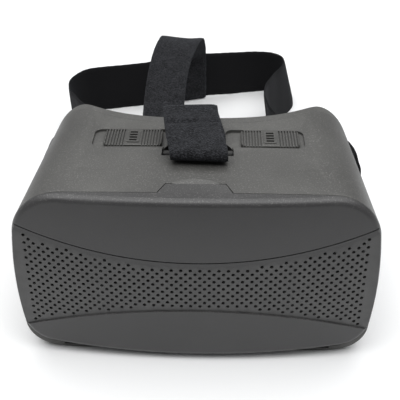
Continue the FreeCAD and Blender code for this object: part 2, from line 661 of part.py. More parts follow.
def slider_button(x):
    """Ribbed thumb slider with a small raised window of four slots."""
    z0 = TOP_Z - CROWN - RECESS_DEPTH + 0.1
    z1 = z0 + BUTTON_THICK
    body = rounded_slab(x, SLIDE_Y, BUTTON_HALF_X, BUTTON_HALF_Y, z0, z1, 3.0)
    top = [e for e in body.Edges if e.BoundBox.ZMin > z1 - 0.01]
    body = body.makeFillet(0.5, top)
    window = rounded_slab(x, SLIDE_Y, 3.4, 6.4, z1 - 0.6, z1 + 0.35, 1.2)
    groove_tools = []
    for side in (-1, 1):
        for i in range(7):
            gx = x + side * (4.9 + i * 1.5)
            groove_tools.append(box(gx - 0.35, gx + 0.35, SLIDE_Y - 9.5, SLIDE_Y + 7.6, z1 - 0.8, z1 + 1))
    body = body.cut(Part.Compound(groove_tools)).fuse(window)
    for i in range(4):
        sy = SLIDE_Y - 4.2 + i * 2.8
        body = body.cut(box(x - 2.0, x + 2.0, sy - 0.85, sy + 0.85, z1 - 1.0, z1 + 1))
    return body.removeSplitter()


# ---------------------------------------------------------------- bars and straps
def top_strap_bar():
    return rod_x(-POCKET_HALF_X - 1.1, POCKET_HALF_X + 1.1, TOP_BAR_Y, TOP_BAR_Z, TOP_BAR_R)


def side_strap_bar(side):
    return rod_z(strap_bar_x(side), STRAP_BAR_Y, MID_Z - STRAP_BAR_HALF + 0.1,
                 MID_Z + STRAP_BAR_HALF - 0.1, STRAP_BAR_R)


def ribbon(stations, wide, thick):
    """A flat band through stations (x, y, z, yaw): yaw turns its width direction from +X, in degrees."""
    rings = []
    last = len(stations) - 1
    for i, (x, y, z, yaw) in enumerate(stations):
        before = V(*stations[max(i - 1, 0)][:3])
        after = V(*stations[min(i + 1, last)][:3])
        across = V(math.cos(math.radians(yaw)), math.sin(math.radians(yaw)), 0)
        normal = across.cross(after.sub(before)).normalize()
        middle = V(x, y, z)
        a = across * (wide / 2)
        n = normal * (thick / 2)
        corners = [middle - a - n, middle + a - n, middle + a + n, middle - a + n]
        rings.append(Part.makePolygon(corners + corners[:1]))
    return Part.makeLoft(rings, True, True)


def flat_face(*corners):
    return Part.Face(Part.makePolygon(list(corners) + [corners[0]]))


def upright_band(points, wide, thick):
    """A band standing on its edge along points (x, y, z of its lower edge); every face is plane."""
    rings = []
    last = len(points) - 1
    up = V(0, 0, wide)
    for i, (x, y, z) in enumerate(points):
        ax, ay = points[max(i - 1, 0)][:2]
        bx, by = points[min(i + 1, last)][:2]
        size = math.hypot(bx - ax, by - ay)
        n = V(-(by - ay) / size, (bx - ax) / size, 0) * (thick / 2)
        low_a = V(x, y, z) + n
        low_b = V(x, y, z) - n
        rings.append((low_a, low_b, low_b + up, low_a + up))
    faces = [flat_face(*rings[0]), flat_face(*rings[-1])]
    for (a, b, c, d), (e, f, g, h) in zip(rings, rings[1:]):
        faces += [flat_face(b, c, g, f), flat_face(d, a, e, h)]
        faces += [flat_face(a, b, f), flat_face(a, f, e), flat_face(c, d, h), flat_face(c, h, g)]
    shell = Part.makeShell(faces)
    shell.sewShape()
    solid = Part.makeSolid(shell)
    if solid.Volume < 0:
        solid.reverse()
    return solid


def standing_height(y):
    """Lower edge of the head strap: level at the bars, then down to the table behind them."""
    along = min(1.0, max(0.0, (y - STRAP_BAR_Y - 27.0) / 95.0))
    ease = along * along * (3 - 2 * along)
    return (MID_Z - STRAP_WIDE / 2) * (1 - ease) + STRAP_Z0 * ease


def bar_turn(side):
    """Plan points of the strap's turn round a side bar, from its sewn tail to its outer run."""
    bx = abs(strap_bar_x(side))
    wall = half_width(STRAP_BAR_Y)
    r = STRAP_BAR_R + 0.3 + STRAP_THICK / 2
    points = [(wall + 1.3, STRAP_BAR_Y + 26), (wall + 1.3, STRAP_BAR_Y + 18), (wall + 1.3, STRAP_BAR_Y + 10)]
    points += [(wall - 0.2, STRAP_BAR_Y + 5.6), (wall - 2.8, STRAP_BAR_Y + 3.4)]
    for angle in (20, 65, 110, 155, 195, 230):
        a = math.radians(angle)
        points.append((bx - r * math.sin(a), STRAP_BAR_Y + r * math.cos(a)))
    points += [(wall - 0.4, STRAP_BAR_Y - 1.8), (wall + 2.0, STRAP_BAR_Y + 0.6)]
    points += [(wall + 3.5, STRAP_BAR_Y + 5), (wall + 3.7, STRAP_BAR_Y + 14), (wall + 3.6, STRAP_BAR_Y + 26)]
    return [(side * x, y) for x, y in points]


def head_strap():
    """Elastic strap from the left bar, round the back of the head, to the right bar."""
    y = FACE_Y
    left = bar_turn(-1)
    loose = [(-90, y + 130), (-87, y + 160), (-84, y + 190), (-86, y + 218), (-98, y + 238), (-107, y + 258),
             (-106, y + 276), (-96, y + 290), (-75, y + 296), (-50, y + 303), (-32.6, y + 309.3),
             (-15.5, y + 315), (1.6, y + 320.7), (18, y + 325), (38, y + 330), (55, y + 330), (66, y + 320), (67, y + 303), (57, y + 282),
             (49, y + 262), (47, y + 242), (52, y + 217), (64, y + 185), (79, y + 150), (87.5, y + 128)]
    right = list(reversed(bar_turn(1)))
    route = [(x, y, standing_height(y)) for x, y in left + loose + right]
    return upright_band(route, STRAP_WIDE, STRAP_THICK)


def top_strap():
    """Hook-and-loop strap from its folded end, round the top bar, over the head to the back strap."""
    y = FACE_Y
    lay = TOP_Z + 0.8 + TOP_STRAP_THICK / 2
    stations = [
        (-4.2, y + 72, 111.8, -4), (-3.0, y + 60, 109.4, -4), (-1.0, y + 48, 107.6, -4),
        (0.6, y + 39, 106.0, -4), (1.2, y + 35.2, 104.6, -4), (1.4, y + 34.2, 103.0, -4),
        (1.3, y + 35.2, 101.6, -4), (1.0, y + 38.5, 101.0, -3), (0.6, y + 42.5, 100.7, -2),
        (0.2, y + 45.2, 99.9, 0), (0.0, y + 46.3, 98.1, 0), (0.0, y + 47.2, 95.6, 0),
        (0.0, y + 49.6, 92.8, 0), (0.0, y + 53, 91.2, 0),
        (0.0, y + 56.3, 92.8, 0), (0.0, y + 57.6, 96.4, 0), (0.0, y + 58.8, 99.0, 0),
        (-0.2, y + 60.8, 100.5, 0), (-0.4, y + 64.5, 100.3, 0), (-0.8, y + 68, lay, 0),
        (-2, y + 74, lay, 0), (-4, y + 86, lay, 0), (-5, y + 92.5, 97.0, 0), (-6, y + 96.5, 89, 0),
        (-9, y + 101, 72, 0), (-14, y + 110, 54, 0), (-20, y + 127, 42, 0), (-26, y + 150, 38, 0),
        (-29, y + 175, 42, 1), (-28.5, y + 200, 52, 2), (-26.5, y + 222, 64, 3), (-22, y + 240, 72, 5),
        (-18.5, y + 254, 74.5, 8), (-16.4, y + 268, 72.5, 12), (-15.2, y + 285, 64, 16),
        (-15.0, y + 300, 54.5, 18.6), (-15.2, y + 309.5, 43, 18.6), (-14.9, y + 312.7, 34, 18.6),
        (-14.9, y + 312.9, 8, 18.6), (-15.0, y + 313.3, 2.4, 18.6), (-15.5, y + 315.0, 1.2, 18.6),
        (-16.0, y + 316.8, 2.4, 18.6), (-16.1, y + 317.2, 8, 18.6), (-16.1, y + 317.2, 30, 18.6),
    ]
    return ribbon(stations, TOP_STRAP_WIDE, TOP_STRAP_THICK)


# ---------------------------------------------------------------- all the pieces
def screws_at(places, y, way):
    return Part.Compound([screw(x, y, z, way) for x, z in places])


def board_screw_places():
    return [(x, z) for x in (-BOSS_X, BOSS_X) for z in (BOSS_LOW_Z, BOSS_HIGH_Z)]


def pieces():
    left_lens = LEFT_BUTTON_X + LENS_INSET
    right_lens = RIGHT_BUTTON_X - LENS_INSET
    return {
        "main_housing": main_housing(),
        "front_cover": front_cover(),
        "face_frame": face_frame(),
        "face_cushion": face_cushion(),
        "lens_board": lens_board(),
        "phone_seat": phone_seat(),
        "septum": septum(),
        "left_seat_pad": seat_pad(-1),
        "right_seat_pad": seat_pad(1),
        "left_cover_pad": cover_pad(-45.0),
        "right_cover_pad": cover_pad(45.0),
        "upper_lens_rail": lens_rail(True),
        "lower_lens_rail": lens_rail(False),
        "left_lens_carriage": lens_carriage(LEFT_BUTTON_X, left_lens),
        "right_lens_carriage": lens_carriage(RIGHT_BUTTON_X, right_lens),
        "left_lens": lens(left_lens),
        "right_lens": lens(right_lens),
        "left_lens_ring": lens_ring(left_lens),
        "right_lens_ring": lens_ring(right_lens),
        "left_slider": slider_button(LEFT_BUTTON_X),
        "right_slider": slider_button(RIGHT_BUTTON_X),
        "left_hinge_pin": hinge_pin(-HINGE_X),
        "right_hinge_pin": hinge_pin(HINGE_X),
        "top_strap_bar": top_strap_bar(),
        "left_strap_bar": side_strap_bar(-1),
        "right_strap_bar": side_strap_bar(1),
        "head_strap": head_strap(),
        "top_strap": top_strap(),
        "phone_seat_screws": screws_at(board_screw_places(), SEAT_Y - 0.0, 1),
        "lens_board_screws": screws_at(board_screw_places(), BOARD_Y + BOARD_THICK, -1),
        "face_frame_screws": screws_at(frame_screw_places(), frame_joint_y(0) + 3.0, -1),
        "rail_screws": rail_screws(),
    }


for name, shape in pieces().items():
    if not shape.isValid():
        print("not valid:", name)
    print(name, len(shape.Solids), round(shape.Volume))
    shape.exportStep("parts/" + name + ".step")
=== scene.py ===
# %% [markdown]
# # Phone-holding goggles with perforated cover and dropped straps
# The hard parts of these goggles (moulded shells, lenses, screws, sliders) come from a CAD model and are already
# in place when the frame is loaded. What is left for Blender is what CAD is poor at: woven and looped webbing
# that lies as it was dropped, padded artificial leather, foam, and the fine surface of every moulding.
# The frame is loaded first, because every later piece takes its place from it.

# %% Load the frame
import bpy
import bmesh
import json
import math
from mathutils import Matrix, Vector


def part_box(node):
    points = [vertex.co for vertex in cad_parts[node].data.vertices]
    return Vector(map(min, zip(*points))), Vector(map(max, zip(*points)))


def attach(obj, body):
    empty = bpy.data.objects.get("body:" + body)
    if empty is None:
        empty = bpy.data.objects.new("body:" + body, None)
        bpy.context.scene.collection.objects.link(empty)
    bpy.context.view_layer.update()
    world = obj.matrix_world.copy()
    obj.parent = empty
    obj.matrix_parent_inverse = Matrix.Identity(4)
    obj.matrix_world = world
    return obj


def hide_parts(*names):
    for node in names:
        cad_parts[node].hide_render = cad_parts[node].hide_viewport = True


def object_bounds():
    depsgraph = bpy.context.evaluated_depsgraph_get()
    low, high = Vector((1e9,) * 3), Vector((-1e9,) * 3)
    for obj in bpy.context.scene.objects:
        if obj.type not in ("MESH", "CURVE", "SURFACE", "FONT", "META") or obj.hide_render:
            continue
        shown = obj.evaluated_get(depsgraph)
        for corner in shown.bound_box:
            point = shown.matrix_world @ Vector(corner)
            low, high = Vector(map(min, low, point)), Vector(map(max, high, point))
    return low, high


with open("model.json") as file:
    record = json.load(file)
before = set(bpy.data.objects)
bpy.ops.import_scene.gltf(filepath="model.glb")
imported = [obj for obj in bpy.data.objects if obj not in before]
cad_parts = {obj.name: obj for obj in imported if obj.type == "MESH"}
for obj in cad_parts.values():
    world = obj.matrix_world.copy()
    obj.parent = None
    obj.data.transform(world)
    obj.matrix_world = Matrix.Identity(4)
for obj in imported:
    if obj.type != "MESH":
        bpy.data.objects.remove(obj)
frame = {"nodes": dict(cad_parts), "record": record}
cad_low, cad_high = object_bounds()
MM = 0.001
print("CAD box in mm:", [round(v / MM) for v in cad_low], [round(v / MM) for v in cad_high])

# %% [markdown]
# ## Camera
# A product shot of a small object is usually taken with a longish lens from above eye level. A 70 mm lens on a
# 36 mm sensor, a third of a right angle above the table, keeps the cover's outline nearly undistorted while the
# top still shows. The place is given in metres in the object's own frame.

# %% Camera
CAMERA_PLACE = (0.0114, -0.3540, 0.2919)
CAMERA_TURN = (57.158, 0.172, 1.601)        # degrees about X, Y and Z

camera_data = bpy.data.cameras.new("camera")
camera_data.sensor_width = 36.0
camera_data.lens = 70.28
camera = bpy.data.objects.new("camera", camera_data)
camera.location = CAMERA_PLACE
camera.rotation_euler = [math.radians(angle) for angle in CAMERA_TURN]
bpy.context.scene.collection.objects.link(camera)
bpy.context.scene.camera = camera
bpy.context.scene.view_settings.view_transform = "Standard"
print("camera", round(camera.location.length, 3), "m from the origin")

# %% [markdown]
# ## Studio
# The object stands on a sheet of white paper under one very large soft light, nearly overhead, which makes its top
# the lightest face. A second, much weaker light a little in front of it lifts the paper and the shadow before the
# object. The paper ends a little before the object, so the front mirrors the dim room and stays dark.

# %% Studio helpers
def add_area_light(name, place, aim, size, power):
    lamp = bpy.data.lights.new(name, "AREA")
    lamp.shape = "RECTANGLE"
    lamp.size, lamp.size_y = size
    lamp.energy = power
    lamp_object = bpy.data.objects.new(name, lamp)
    lamp_object.location = place
    lamp_object.rotation_mode = "QUATERNION"
    lamp_object.rotation_quaternion = (Vector(aim) - Vector(place)).to_track_quat("-Z", "Y")
    bpy.context.scene.collection.objects.link(lamp_object)
    return lamp_object


# %% Lights, world and floor
add_area_light("overhead_softbox", place=(0.0, 0.25, 1.30), aim=(0.0, 0.15, 0.0), size=(2.4, 2.0), power=31.0)
add_area_light("front_softbox", place=(0.0, -0.45, 1.10), aim=(0.0, -0.15, 0.0), size=(1.8, 0.8), power=8.0)

world = bpy.data.worlds.new("light_tent")
bpy.context.scene.world = world
world.use_nodes = True
background = world.node_tree.nodes["Background"]
background.inputs["Color"].default_value = (0.97, 0.98, 1.0, 1.0)
background.inputs["Strength"].default_value = 0.22

PAPER_FRONT = -0.26
PAPER_SIZE = 6.0
bpy.ops.mesh.primitive_plane_add(size=PAPER_SIZE, location=(0.0, PAPER_FRONT + PAPER_SIZE / 2, cad_low.z))
floor = bpy.context.object
floor.name = "white_table"
print("floor at", round(cad_low.z / MM, 2), "mm")

# %% [markdown]
# ## Shader building blocks
# Surface effects that several finishes share are node groups, so that a change is made once. A small helper adds
# a node and fills its sockets by name, which keeps the groups readable. Groups only put out masks and heights:
# the shader itself stays in each material.

# %% Node helpers
def add_node(tree, kind, values=None, **settings):
    """Adds a node: values fill its sockets and settings its own properties."""
    made = tree.nodes.new(kind)
    for key, value in settings.items():
        setattr(made, key, value)
    for key, value in (values or {}).items():
        made.inputs[key].default_value = value
    return made


def wire(tree, source, target):
    """Joins (node, socket) to (node, socket)."""
    tree.links.new(source[0].outputs[source[1]], target[0].inputs[target[1]])


def math_node(tree, operation, a, b=None):
    """One sum; a and b are numbers or (node, socket), and so is what comes back."""
    made = tree.nodes.new("ShaderNodeMath")
    made.operation = operation
    for index, term in enumerate((a, b)):
        if term is None:
            continue
        if isinstance(term, (int, float)):
            made.inputs[index].default_value = term
        else:
            wire(tree, term, (made, index))
    return made, 0


def new_group(name, inputs, outputs):
    tree = bpy.data.node_groups.new(name, "ShaderNodeTree")
    for label, default in inputs.items():
        made = tree.interface.new_socket(name=label, in_out="INPUT", socket_type="NodeSocketFloat")
        made.default_value = default
    for label, kind in outputs.items():
        tree.interface.new_socket(name=label, in_out="OUTPUT", socket_type=kind)
    return tree, tree.nodes.new("NodeGroupInput"), tree.nodes.new("NodeGroupOutput")


# %% [markdown]
# ### Moulded grain
# Injection-moulded plastic takes the fine spark-eroded texture of its mould. Two scales of noise are enough: a
# sand-like one for the grain and a slow one for the uneven gloss that handling leaves. Object coordinates are in
# metres, so the scales are real sizes.

# %% Group: moulded grain
def build_grain_group():
    tree, start, end = new_group(
        "moulded_grain",
        {"Grain Scale": 2600.0, "Cloud Scale": 28.0},
        {"Height": "NodeSocketFloat", "Cloud": "NodeSocketFloat", "Speck": "NodeSocketFloat"},
    )
    place = add_node(tree, "ShaderNodeTexCoord")
    grain = add_node(tree, "ShaderNodeTexNoise", {"Detail": 2.0, "Roughness": 0.6})
    cloud = add_node(tree, "ShaderNodeTexNoise", {"Detail": 3.0, "Roughness": 0.55})
    speck = add_node(tree, "ShaderNodeTexNoise", {"Scale": 900.0, "Detail": 1.0})
    for texture in (grain, cloud, speck):
        wire(tree, (place, "Object"), (texture, "Vector"))
    wire(tree, (start, "Grain Scale"), (grain, "Scale"))
    wire(tree, (start, "Cloud Scale"), (cloud, "Scale"))
    wire(tree, (grain, "Fac"), (end, "Height"))
    wire(tree, (cloud, "Fac"), (end, "Cloud"))
    wire(tree, (speck, "Fac"), (end, "Speck"))
    return tree


grain_group = build_grain_group()
print("group", grain_group.name)

# %% [markdown]
# ### Worn edges and settled dust
# Handling polishes the corners of a moulding, and a little dust settles on whatever faces up. Pointiness says how
# convex the mesh is at a point, which gives the first mask, and the surface normal's upward part, broken up by
# noise, gives the second.

# %% Group: wear and dust
def build_wear_group():
    tree, start, end = new_group(
        "wear_and_dust",
        {"Edge From": 0.53, "Edge To": 0.62, "Dust": 1.0},
        {"Edge": "NodeSocketFloat", "Dust": "NodeSocketFloat"},
    )
    shape = add_node(tree, "ShaderNodeNewGeometry")
    place = add_node(tree, "ShaderNodeTexCoord")
    patchy = add_node(tree, "ShaderNodeTexNoise", {"Scale": 160.0, "Detail": 4.0})
    wire(tree, (place, "Object"), (patchy, "Vector"))
    ramp = add_node(tree, "ShaderNodeMapRange", interpolation_type="SMOOTHSTEP")
    wire(tree, (shape, "Pointiness"), (ramp, "Value"))
    wire(tree, (start, "Edge From"), (ramp, "From Min"))
    wire(tree, (start, "Edge To"), (ramp, "From Max"))
    edge = math_node(tree, "MULTIPLY", (ramp, "Result"), (patchy, "Fac"))
    up = add_node(tree, "ShaderNodeSeparateXYZ")
    wire(tree, (shape, "Normal"), (up, "Vector"))
    facing = math_node(tree, "MAXIMUM", (up, "Z"), 0.0)
    motes = add_node(tree, "ShaderNodeTexNoise", {"Scale": 1500.0, "Detail": 2.0})
    wire(tree, (place, "Object"), (motes, "Vector"))
    few = add_node(tree, "ShaderNodeMapRange", {"From Min": 0.56, "From Max": 0.72})
    wire(tree, (motes, "Fac"), (few, "Value"))
    dust = math_node(tree, "MULTIPLY", facing, (few, "Result"))
    dust = math_node(tree, "MULTIPLY", dust, (start, "Dust"))
    wire(tree, edge, (end, "Edge"))
    wire(tree, dust, (end, "Dust"))
    return tree


wear_group = build_wear_group()
print("group", wear_group.name)

# %% [markdown]
# ### Webbing weave
# Webbing has warp threads that run along it and weft threads across. The bands made further on carry a UV map
# measured in metres, u along and v across, so one group can draw the threads of all of them at their real pitch:
# two crossed waves, the one along the band shifted by half a rib from row to row, make the over-and-under look.

# %% Group: weave
def build_weave_group():
    tree, start, end = new_group(
        "webbing_weave",
        {"Thread Pitch": 0.0008, "Rib Pitch": 0.0012},
        {"Height": "NodeSocketFloat", "Gap": "NodeSocketFloat", "Fuzz": "NodeSocketFloat"},
    )
    place = add_node(tree, "ShaderNodeUVMap", uv_map="metres")
    split = add_node(tree, "ShaderNodeSeparateXYZ")
    wire(tree, (place, "UV"), (split, "Vector"))
    along = math_node(tree, "DIVIDE", (split, "X"), (start, "Rib Pitch"))
    across = math_node(tree, "DIVIDE", (split, "Y"), (start, "Thread Pitch"))
    row = math_node(tree, "FLOOR", across)
    shift = math_node(tree, "MULTIPLY", row, 0.5)
    along = math_node(tree, "ADD", along, shift)
    rib = math_node(tree, "SINE", math_node(tree, "MULTIPLY", along, math.tau))
    rib = math_node(tree, "MULTIPLY", rib, 0.35)
    thread = math_node(tree, "SINE", math_node(tree, "MULTIPLY", across, math.pi))
    thread = math_node(tree, "ABSOLUTE", thread)
    wire(tree, math_node(tree, "ADD", rib, thread), (end, "Height"))
    wire(tree, math_node(tree, "SUBTRACT", 1.0, thread), (end, "Gap"))
    fuzz = add_node(tree, "ShaderNodeTexNoise", {"Scale": 3200.0, "Detail": 3.0, "Roughness": 0.7})
    body_place = add_node(tree, "ShaderNodeTexCoord")
    wire(tree, (body_place, "Object"), (fuzz, "Vector"))
    wire(tree, (fuzz, "Fac"), (end, "Fuzz"))
    return tree


weave_group = build_weave_group()
print("group", weave_group.name)

# %% [markdown]
# ## Finishes
# Each finish is one material. Colours are built by mixing two close tones with a mask from a group, and on the
# plastics the slow cloud mask also steers roughness. A polished edge on real plastic is both lighter and glossier;
# here it is only lighter.

# %% Material helpers
# A Mix node keeps sockets for numbers, vectors and colours side by side. These are its colour ones.
MIX_FIRST = 6
MIX_SECOND = 7
MIX_RESULT = 2


def new_material(name):
    made = bpy.data.materials.new(name)
    made.use_nodes = True
    tree = made.node_tree
    return made, tree, tree.nodes["Principled BSDF"]


def place_group(tree, group, **values):
    made = tree.nodes.new("ShaderNodeGroup")
    made.node_tree = group
    for key, value in values.items():
        made.inputs[key.replace("_", " ")].default_value = value
    return made


def mix_colour(tree, factor, first, second):
    """Mixes two colours by a mask; each may be a colour or a (node, socket)."""
    made = tree.nodes.new("ShaderNodeMix")
    made.data_type = "RGBA"
    wire(tree, factor, (made, "Factor"))
    for index, term in ((MIX_FIRST, first), (MIX_SECOND, second)):
        if len(term) == 3:
            made.inputs[index].default_value = (*term, 1.0)
        else:
            wire(tree, term, (made, index))
    return made, MIX_RESULT


def map_range(tree, source, low, high, from_low=0.0, from_high=1.0):
    """Stretches from_low..from_high of a (node, socket) to low..high."""
    made = add_node(tree, "ShaderNodeMapRange",
                    {"From Min": from_low, "From Max": from_high, "To Min": low, "To Max": high})
    wire(tree, source, (made, "Value"))
    return made, "Result"


def bump(tree, shader, height, distance, strength):
    """Raises a shader's surface by height, of which 1 stands for distance in metres."""
    made = add_node(tree, "ShaderNodeBump", {"Distance": distance, "Strength": strength})
    wire(tree, height, (made, "Height"))
    wire(tree, (made, "Normal"), (shader, "Normal"))


# %% Moulded plastics
DUST_TONE = (0.42, 0.41, 0.39)


def moulded_plastic(name, tone, worn, rough, grain=0.5, dust=1.0):
    """Textured plastic: tone is its colour and worn the colour of its polished edges."""
    made, tree, shader = new_material(name)
    grainy = place_group(tree, grain_group)
    wear = place_group(tree, wear_group, Dust=dust)
    light = tuple(min(1.0, c * 1.16 + 0.002) for c in tone)
    body = mix_colour(tree, map_range(tree, (grainy, "Cloud"), 0.0, 1.0, 0.35, 0.65), tone, light)
    edged = mix_colour(tree, map_range(tree, (wear, "Edge"), 0.0, 0.5), body, worn)
    dusty = mix_colour(tree, map_range(tree, (wear, "Dust"), 0.0, 0.22), edged, DUST_TONE)
    wire(tree, dusty, (shader, "Base Color"))
    gloss = map_range(tree, (grainy, "Cloud"), rough - 0.05, rough + 0.06, 0.35, 0.65)
    wire(tree, gloss, (shader, "Roughness"))
    bump(tree, shader, (grainy, "Height"), 0.00012, grain)
    return made


housing_plastic = moulded_plastic("housing_plastic", (0.052, 0.0515, 0.049), (0.125, 0.125, 0.117), 0.46)
# The cover's tone is darker than the housing's as painted shade, so that its front face, turned away from the
# overhead light, reads dark.
cover_plastic_painted_shade = moulded_plastic("cover_plastic_painted_shade", (0.034, 0.0335, 0.034), (0.10, 0.10, 0.097), 0.40)
ring_plastic = moulded_plastic("ring_plastic", (0.054, 0.0535, 0.051), (0.12, 0.12, 0.112), 0.44)
slider_plastic = moulded_plastic("slider_plastic", (0.043, 0.0425, 0.040), (0.11, 0.11, 0.10), 0.42)
inner_plastic = moulded_plastic("inner_plastic", (0.014, 0.014, 0.014), (0.05, 0.05, 0.05), 0.6, dust=0.3)
print("plastics made")

# %% Steel, glass and floor
def brushed_steel(name):
    made, tree, shader = new_material(name)
    place = add_node(tree, "ShaderNodeTexCoord")
    stretch = add_node(tree, "ShaderNodeMapping", {"Scale": (40.0, 2500.0, 2500.0)})
    scratches = add_node(tree, "ShaderNodeTexNoise", {"Scale": 1.0, "Detail": 4.0})
    wire(tree, (place, "Object"), (stretch, "Vector"))
    wire(tree, (stretch, "Vector"), (scratches, "Vector"))
    tone = mix_colour(tree, (scratches, "Fac"), (0.32, 0.32, 0.33), (0.55, 0.55, 0.56))
    wire(tree, tone, (shader, "Base Color"))
    shader.inputs["Metallic"].default_value = 1.0
    wire(tree, map_range(tree, (scratches, "Fac"), 0.22, 0.42), (shader, "Roughness"))
    bump(tree, shader, (scratches, "Fac"), 0.00005, 0.3)
    return made


def lens_glass(name):
    made, tree, shader = new_material(name)
    place = add_node(tree, "ShaderNodeTexCoord")
    smear = add_node(tree, "ShaderNodeTexNoise", {"Scale": 90.0, "Detail": 3.0, "Distortion": 0.8})
    wire(tree, (place, "Object"), (smear, "Vector"))
    wire(tree, map_range(tree, (smear, "Fac"), 0.01, 0.09, 0.45, 0.75), (shader, "Roughness"))
    shader.inputs["Base Color"].default_value = (0.95, 0.97, 0.98, 1.0)
    shader.inputs["Transmission Weight"].default_value = 1.0
    shader.inputs["IOR"].default_value = 1.49
    return made


def table_paper(name):
    made, tree, shader = new_material(name)
    place = add_node(tree, "ShaderNodeTexCoord")
    cloud = add_node(tree, "ShaderNodeTexNoise", {"Scale": 2.0, "Detail": 2.0})
    wire(tree, (place, "Object"), (cloud, "Vector"))
    tone = mix_colour(tree, (cloud, "Fac"), (0.86, 0.87, 0.88), (0.89, 0.89, 0.885))
    wire(tree, tone, (shader, "Base Color"))
    shader.inputs["Roughness"].default_value = 0.55
    return made


steel = brushed_steel("brushed_steel")
glass = lens_glass("lens_glass")
floor.data.materials.append(table_paper("table_paper"))
print("steel, glass and table made")

# %% [markdown]
# ### Webbing, loop pile, artificial leather and foam
# The elastic strap is a dense black weave with a faint sheen, with painted shade that darkens its colour in the
# gaps between threads. The hook-and-loop strap is covered with tiny loops, so its light comes from fuzz rather
# than
# threads: fine noise in both colour and bump, pale flecks of lint, and a little sheen on the shader. Artificial
# leather gets a pebbled cell pattern, and foam a pattern of open pores with painted shade darkening their middles.

# %% Soft finishes
def woven_elastic(name):
    made, tree, shader = new_material(name)
    weave = place_group(tree, weave_group)
    # Painted shade: the colour darkens in the gaps between threads.
    between = map_range(tree, (weave, "Gap"), 0.0, 1.0, 0.2, 1.0)
    body = mix_colour(tree, between, (0.0062, 0.0062, 0.0072), (0.0022, 0.0022, 0.0026))
    frayed = map_range(tree, (weave, "Fuzz"), 0.0, 0.4, 0.55, 0.8)
    worn = mix_colour(tree, frayed, body, (0.022, 0.023, 0.026))
    wire(tree, worn, (shader, "Base Color"))
    shader.inputs["Roughness"].default_value = 0.82
    shader.inputs["Specular IOR Level"].default_value = 0.15
    shader.inputs["Sheen Weight"].default_value = 0.025
    shader.inputs["Sheen Roughness"].default_value = 0.45
    shader.inputs["Sheen Tint"].default_value = (0.75, 0.8, 0.9, 1.0)
    bump(tree, shader, (weave, "Height"), 0.00025, 0.55)
    return made


def loop_pile(name, dark, pale):
    made, tree, shader = new_material(name)
    weave = place_group(tree, weave_group, Thread_Pitch=0.0011, Rib_Pitch=0.0016)
    place = add_node(tree, "ShaderNodeTexCoord")
    loops = add_node(tree, "ShaderNodeTexVoronoi", {"Scale": 1500.0})
    tufts = add_node(tree, "ShaderNodeTexNoise", {"Scale": 1050.0, "Detail": 4.0, "Roughness": 0.7})
    clumps = add_node(tree, "ShaderNodeTexNoise", {"Scale": 190.0, "Detail": 3.0, "Roughness": 0.6})
    for texture in (loops, tufts, clumps):
        wire(tree, (place, "Object"), (texture, "Vector"))
    mottle = math_node(tree, "ADD", (tufts, "Fac"), math_node(tree, "MULTIPLY", (clumps, "Fac"), 0.25))
    body = mix_colour(tree, map_range(tree, mottle, 0.0, 1.0, 0.52, 0.76), dark, pale)
    lint = math_node(tree, "MULTIPLY", (weave, "Fuzz"), (tufts, "Fac"))
    fleck = map_range(tree, lint, 0.0, 0.8, 0.36, 0.5)
    flecked = mix_colour(tree, fleck, body, (0.16, 0.165, 0.175))
    wire(tree, flecked, (shader, "Base Color"))
    shader.inputs["Roughness"].default_value = 0.95
    shader.inputs["Specular IOR Level"].default_value = 0.2
    shader.inputs["Sheen Weight"].default_value = 0.07
    shader.inputs["Sheen Roughness"].default_value = 0.4
    shader.inputs["Sheen Tint"].default_value = (0.85, 0.9, 1.0, 1.0)
    height = math_node(tree, "ADD", (loops, "Distance"), math_node(tree, "MULTIPLY", (tufts, "Fac"), 1.5))
    bump(tree, shader, height, 0.0006, 0.9)
    return made


def pebbled_leather(name):
    made, tree, shader = new_material(name)
    place = add_node(tree, "ShaderNodeTexCoord")
    cells = add_node(tree, "ShaderNodeTexVoronoi", {"Scale": 950.0}, feature="DISTANCE_TO_EDGE")
    creases = add_node(tree, "ShaderNodeTexNoise", {"Scale": 120.0, "Detail": 5.0})
    wire(tree, (place, "Object"), (cells, "Vector"))
    wire(tree, (place, "Object"), (creases, "Vector"))
    tone = mix_colour(tree, (creases, "Fac"), (0.014, 0.014, 0.015), (0.028, 0.028, 0.03))
    wire(tree, tone, (shader, "Base Color"))
    wire(tree, map_range(tree, (creases, "Fac"), 0.36, 0.52), (shader, "Roughness"))
    pebbles = map_range(tree, (cells, "Distance"), 0.0, 1.0, 0.0, 0.25)
    height = math_node(tree, "ADD", pebbles, math_node(tree, "MULTIPLY", (creases, "Fac"), 0.6))
    bump(tree, shader, height, 0.0003, 0.6)
    return made


def porous_foam(name):
    made, tree, shader = new_material(name)
    place = add_node(tree, "ShaderNodeTexCoord")
    pores = add_node(tree, "ShaderNodeTexVoronoi", {"Scale": 1400.0})
    wire(tree, (place, "Object"), (pores, "Vector"))
    # Painted shade: the colour darkens towards the middle of each pore.
    tone = mix_colour(tree, (pores, "Distance"), (0.012, 0.012, 0.012), (0.04, 0.04, 0.041))
    wire(tree, tone, (shader, "Base Color"))
    shader.inputs["Roughness"].default_value = 0.9
    bump(tree, shader, (pores, "Distance"), 0.0004, 0.7)
    return made


elastic = woven_elastic("black_elastic")
pile = loop_pile("loop_pile", (0.0040, 0.0042, 0.0050), (0.030, 0.031, 0.035))
leather = pebbled_leather("black_leather")
foam = porous_foam("black_foam")
print("soft finishes made")

# %% [markdown]
# ## Dressing the hard parts
# The CAD parts keep their shape and only change their finish. The record that comes with the frame gives every
# part a material slot, and each slot stands for one finish here.

# %% Finishes of the CAD parts
FINISH_OF_SLOT = {
    "housing": housing_plastic,
    "cover": cover_plastic_painted_shade,
    "frame_ring": ring_plastic,
    "slider": slider_plastic,
    "inner_plastic": inner_plastic,
    "steel": steel,
    "lens": glass,
    "foam": foam,
    "cushion": leather,
    "elastic": elastic,
    "hook_and_loop": pile,
}


def dress(part, finish):
    part.data.materials.clear()
    part.data.materials.append(finish)


